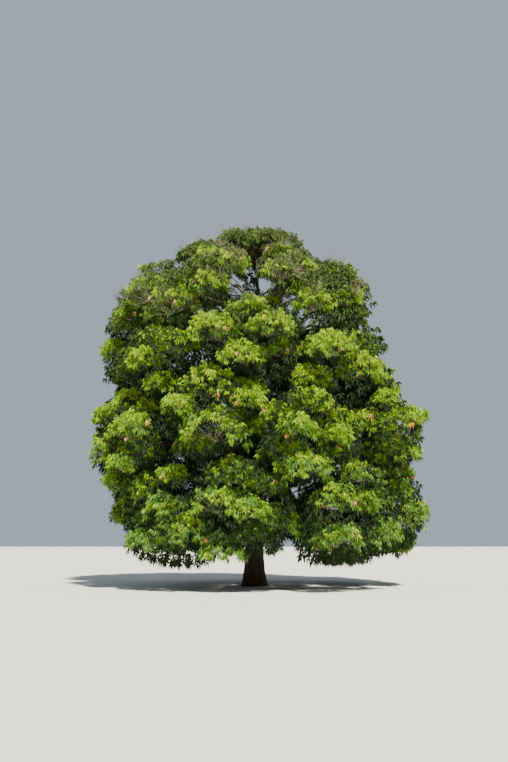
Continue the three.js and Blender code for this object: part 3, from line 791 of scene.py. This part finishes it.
TWIG_BARK = plain_finish("twig_bark", TWIG_COLOR, TWIG_ROUGHNESS)
taken = [CROWN_HEART]
for tier in crown:
    skins = []
    tier["sunny"] = []
    tier["shade"] = []
    tier["sprouts"] = []
    for mass in tier["masses"]:
        clumps = clumps_of(mass, taken)
        tufts = tufts_of(mass, clumps, DRY_SHARE if tier["name"] in DRY_TIERS else 0)
        tier["sunny"].append(tufts)
        tier["shade"].append(shade_of(mass, clumps))
        stem = arcs(bend(mass["bough"]["points"], [1.0]), mass["centre"][None], STEM)
        hearts = clumps["hearts"][clumps["sunny"]] - CLUMP_FORK_BELOW * UP
        ends = hearts[::CLUMPS_PER_BRANCH]
        forks = bend(mass["bough"]["points"], np.linspace(*mass["forks"], len(ends)))
        branches = arcs(forks, ends, BRANCH)
        sprouts = sprouts_of(mass, branches)
        tier["sprouts"].append(sprouts)
        nearest = np.linalg.norm(hearts[:, None] - ends, axis=-1).argmin(1)
        side_branches = arcs(branches[nearest, BRANCH_FORK_RING], hearts, SIDE_BRANCH)
        fork_rings = -1 - np.arange(len(tufts["clump"])) % SPRIG_FORKS
        sprigs = arcs(side_branches[tufts["clump"], fork_rings], tufts["bases"], SPRIG)
        stalks = arcs(sprouts["feet"], sprouts["forks"], SPROUT_STALK)
        skins.append(tapered(stem, STEM))
        skins.append(tapered(branches, BRANCH))
        skins.append(tapered(side_branches, SIDE_BRANCH))
        skins.append(tapered(sprigs, SPRIG))
        skins.append(spikes(tufts["shoot_bases"], tufts["places"], SHOOT_RADIUS))
        skins.append(tapered(stalks, SPROUT_STALK))
        skins.append(spikes(sprouts["bases"], sprouts["places"], SHOOT_RADIUS))
    twigs = piece(f"twigs_{tier['name']}", *joined(skins), TWIG_BARK)
    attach(twigs, "root")
    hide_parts(*[mass["node"] for mass in tier["masses"]])


# The dry sprays: dead tufts high in the crown, where chance turns up no leafy shoots. Each is a fan
# of long bare twigs of grey-tan wood, very thin, that run to a point from the tuft's place.
DRY_TWIGS = 20
DRY_SPREAD = 0.8
DRY_LENGTH = 0.58
DRY_LENGTH_CHANCE = 0.4
DRY_RADIUS = 0.008
DRY_SEED_STEP = 0.29
DRY_COLOR = (0.19, 0.155, 0.12)
DRY_ROUGHNESS = 0.9
DRY_FINISH = plain_finish("dry_twigs", DRY_COLOR, DRY_ROUGHNESS)

for tier in crown:
    if tier["name"] not in DRY_TIERS:
        continue
    bases, ways, seeds = [
        np.concatenate([part[key] for part in tier["sunny"]])
        for key in ("dry_bases", "dry_ways", "dry_seeds")
    ]
    fan = unit(ways[:, None] + DRY_SPREAD * golden(DRY_TWIGS, *WHOLE_BALL, seeds))
    luck = chance(seeds[:, None] + DRY_SEED_STEP * np.arange(DRY_TWIGS))
    length = DRY_LENGTH * (1 + DRY_LENGTH_CHANCE * luck)
    feet = np.repeat(bases, DRY_TWIGS, axis=0)
    tips = feet + (length[..., None] * fan).reshape(-1, 3)
    dry = piece(f"dry_{tier['name']}", *spikes(feet, tips, DRY_RADIUS), DRY_FINISH)
    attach(dry, "root")
    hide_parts(*[mass["node"] for mass in tier["masses"]])


# The leaves: long, pointed and leathery, in whorls that spread and then droop. Each is a sheet of
# two faces, folded along its midrib. A whorl has one tint: yellow-green with painted sunlight on
# sunny tops, deeper with painted shade below, cool near the ground, partly a painted reflection of
# the sky, olive near the top, dark with painted shade inside the crown, and tan or gold when old.
SUNNY_LEAF = {"count": 12, "length": 0.18, "width": 0.034}
SHADE_LEAF = {"count": 10, "length": 0.24, "width": 0.06}
LEAF_CHANCE = 0.25
LEAF_TILTS = (0.4, 1.9)
LEAF_TILT_CHANCE = 0.2
LEAF_DROOPS = (0.4, 1.4)
LEAF_FOLD = 0.35
LEAF_ROLL = 0.9
LEAF_LIFT = 0.15
LEAF_MIDDLE = 0.42
LEAF_SEED_STEP = 0.37
LEAF_SEEDS = {"tilt": 5.1, "length": 9.3, "width": 2.9, "roll": 7.7}
LEAF_SHINE = 0.3
LEAF_ROUGHNESS = {"sunny": 0.5, "shade": 0.85}
TINT_DROOPS = {"cool": 1.3, "deep": 1.3, "tan": 3.5, "gold": 3.5}
TINT_SEEDS = {"tuft": 0.9, "whorl": 0.2, "cool": 6.1, "old": 4.4, "shade": 2.2}
SUNLIT_SHARES = {"rise": 0.55, "facing": 0.3, "tuft": 0.25, "whorl": 0.5}
# Whorls sunnier than LIME_FROM get painted sunlight (lime), those below GREEN_FROM painted shade
# (deep).
LIME_FROM = 0.5
GREEN_FROM = 0.0
COOL_FROM = 0.15
COOL_BELOW = 6.5
COOL_DEPTH = 4.5
COOL_LIMIT = 0.6
COOL_LIMIT_CHANCE = 0.6
OLIVE_ABOVE = 11.3
OLIVE_DEPTH = 2.4
TAN_FROM = 0.98
GOLD_TO = -0.996
PALE_SHADE_ABOVE = 9.5
PALE_SHADE_SPREAD = 1.5
TINTS = {
    # lime: young growth brightened with painted sunlight.
    "lime": (0.25, 0.38, 0.01),
    "green": (0.14, 0.265, 0.008),
    # deep: painted shade for the dim undersides and inner sides of clumps.
    "deep": (0.05, 0.11, 0.006),
    # cool: bluish green low down, partly the leaves' own tone and partly a painted reflection of the
    # sky.
    "cool": (0.1, 0.225, 0.026),
    "olive": (0.082, 0.116, 0.028),
    "shade": (0.011, 0.028, 0.004),
    "pale_shade": (0.042, 0.078, 0.012),
    "tan": (0.5, 0.27, 0.12),
    "gold": (0.6, 0.33, 0.03),
}
LEAF_FINISH = {}
for tint, color in TINTS.items():
    roughness = LEAF_ROUGHNESS["shade" if "shade" in tint else "sunny"]
    LEAF_FINISH[tint] = plain_finish("leaf_" + tint, color, roughness, LEAF_SHINE)


def whorls(leaf, places, ways, seeds, droop):
    """Leaves round shoot ends. Their bearings turn by the golden angle; from the first leaf to the
    last they tilt away from the shoot; then each droops, its own way bent towards the ground by
    the middle and again by the tip. droop makes a whorl hang more."""
    count = np.arange(leaf["count"])
    seed = seeds[:, None] + LEAF_SEED_STEP * count
    around = GOLDEN_ANGLE * count + np.pi * chance(seeds)[:, None]
    tilt = mix(*LEAF_TILTS, count / (leaf["count"] - 1))
    tilt = tilt + LEAF_TILT_CHANCE * chance(seed + LEAF_SEEDS["tilt"])
    root_way = tilted(ways, tilt, around)
    middle_way = unit(root_way - LEAF_DROOPS[0] * droop * UP)
    tip_way = unit(root_way - LEAF_DROOPS[1] * droop * UP)
    length = leaf["length"] * (1 + LEAF_CHANCE * chance(seed + LEAF_SEEDS["length"]))[..., None]
    half = leaf["width"] / 2 * (1 + LEAF_CHANCE * chance(seed + LEAF_SEEDS["width"]))[..., None]
    level, above = basis(middle_way)
    above = above * np.where(above[..., 2:] < 0, -1, 1)
    roll = LEAF_ROLL * chance(seed + LEAF_SEEDS["roll"])[..., None]
    side = np.cos(roll) * level + np.sin(roll) * above
    above = np.cos(roll) * above - np.sin(roll) * level
    root = places[:, None] - LEAF_LIFT * (count / leaf["count"])[:, None] * ways[:, None]
    middle = root + LEAF_MIDDLE * length * middle_way
    tip = middle + (1 - LEAF_MIDDLE) * length * tip_way
    edge = middle + LEAF_FOLD * half * above
    points = np.stack([root, edge + half * side, tip, edge - half * side], axis=2).reshape(-1, 3)
    halves = np.array(((0, 1, 2), (0, 2, 3)))
    faces = halves + 4 * np.arange(len(points) // 4)[:, None, None]
    return points, [faces.reshape(-1, 3)]


def tints_of(grown):
    """The tint of each whorl on a sunny clump. How sunny it is, a weighted sum of its rise and
    facing in the clump and of chance, makes it lime with painted sunlight, green, or deep with
    painted shade. Below one height more tufts are cool, partly a painted reflection of the sky,
    above another more are olive, and a few whorls by chance are tan or gold."""
    luck = chance(grown["tuft_seeds"] + TINT_SEEDS["tuft"])
    sunny = SUNLIT_SHARES["rise"] * grown["rise"] + SUNLIT_SHARES["facing"] * grown["facing"]
    sunny += SUNLIT_SHARES["tuft"] * luck
    sunny += SUNLIT_SHARES["whorl"] * chance(grown["seeds"] + TINT_SEEDS["whorl"])
    # Painted sunlight on the sunniest whorls, painted shade (deep) on the dimmest.
    tint = np.where(sunny > LIME_FROM, "lime", np.where(sunny > GREEN_FROM, "green", "deep"))
    height = grown["places"][:, 2]
    limit = COOL_LIMIT + COOL_LIMIT_CHANCE * chance(grown["tuft_seeds"] + TINT_SEEDS["cool"])
    # Low down the sunnier whorls take the cool tint with its painted sky reflection, the rest painted
    # shade.
    cooled = (COOL_BELOW - height) / COOL_DEPTH > limit
    tint = np.where(cooled, np.where(sunny > COOL_FROM, "cool", "deep"), tint)
    dulled = luck < (height - OLIVE_ABOVE) / OLIVE_DEPTH
    tint = np.where(dulled & (sunny > GREEN_FROM), "olive", tint)
    old = chance(grown["seeds"] + TINT_SEEDS["old"])
    return np.where(old > TAN_FROM, "tan", np.where(old < GOLD_TO, "gold", tint))


def shade_tints_of(grown):
    """The tint of each whorl inside the crown: dark low down, paler where the sky reaches in."""
    luck = chance(grown["seeds"] + TINT_SEEDS["shade"])
    limit = PALE_SHADE_ABOVE + PALE_SHADE_SPREAD * luck
    return np.where(grown["places"][:, 2] > limit, "pale_shade", "shade")


for tier in crown:
    skins = {tint: [] for tint in TINTS}
    for kind, leaf in (("sunny", SUNNY_LEAF), ("shade", SHADE_LEAF), ("sprouts", SUNNY_LEAF)):
        grown = {key: np.concatenate([part[key] for part in tier[kind]]) for key in tier[kind][0]}
        tints = tints_of(grown) if kind == "sunny" else shade_tints_of(grown)
        for tint in np.unique(tints):
            shoots = [grown[key][tints == tint] for key in ("places", "ways", "seeds")]
            skins[tint].append(whorls(leaf, *shoots, TINT_DROOPS.get(tint, 1.0)))
    for tint in TINTS:
        if skins[tint]:
            leaves = piece(f"leaves_{tier['name']}_{tint}", *joined(skins[tint]), LEAF_FINISH[tint])
            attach(leaves, "root")
            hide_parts(*[mass["node"] for mass in tier["masses"]])


# The studio: a plain pale floor, a high soft sun in front, a little to the right, and a pale sky.
# The camera stands at eye height, thirty metres in front of the trunk, and looks up.
FLOOR_HALF = 400.0
FLOOR_DROP = 0.004
FLOOR_COLOR = (0.56, 0.54, 0.51)
FLOOR_ROUGHNESS = 0.9
SUN_TURN = (np.radians(36), np.radians(16), 0)
SUN_STRENGTH = 14.5
SUN_WIDTH = np.radians(3)
SUN_COLOR = (1.0, 0.95, 0.8)
SKY = {"Color": (0.68, 0.79, 0.92, 1), "Strength": 0.58}
CAMERA_PITCH = np.radians(12.4)
SENSOR_HEIGHT = 36
LENS_LENGTH = 35
CAMERA_FAR = 2000

floor_points = np.array([(-1, -1, 0), (1, -1, 0), (1, 1, 0), (-1, 1, 0)]) * FLOOR_HALF
floor_points = floor_points - UP * FLOOR_DROP
floor_finish = plain_finish("pale_floor", FLOOR_COLOR, FLOOR_ROUGHNESS)
piece("floor", floor_points, [np.array([[0, 1, 2, 3]])], floor_finish)

sun = bpy.data.lights.new("sun", "SUN")
sun.energy = SUN_STRENGTH
sun.angle = SUN_WIDTH
sun.color = SUN_COLOR
sun_stand = bpy.data.objects.new("sun", sun)
sun_stand.rotation_euler = SUN_TURN
bpy.context.scene.collection.objects.link(sun_stand)

world = bpy.data.worlds.new("pale_sky")
world.use_nodes = True
fill(world.node_tree.nodes["Background"], SKY)
bpy.context.scene.world = world

lens = bpy.data.cameras.new("camera")
lens.sensor_fit = "VERTICAL"
lens.sensor_height = SENSOR_HEIGHT
lens.lens = LENS_LENGTH
lens.clip_end = CAMERA_FAR
camera = bpy.data.objects.new("camera", lens)
camera.location = (0, -EYE["distance"], EYE["height"])
camera.rotation_euler = (np.pi / 2 + CAMERA_PITCH, 0, 0)
bpy.context.scene.collection.objects.link(camera)
bpy.context.scene.camera = camera
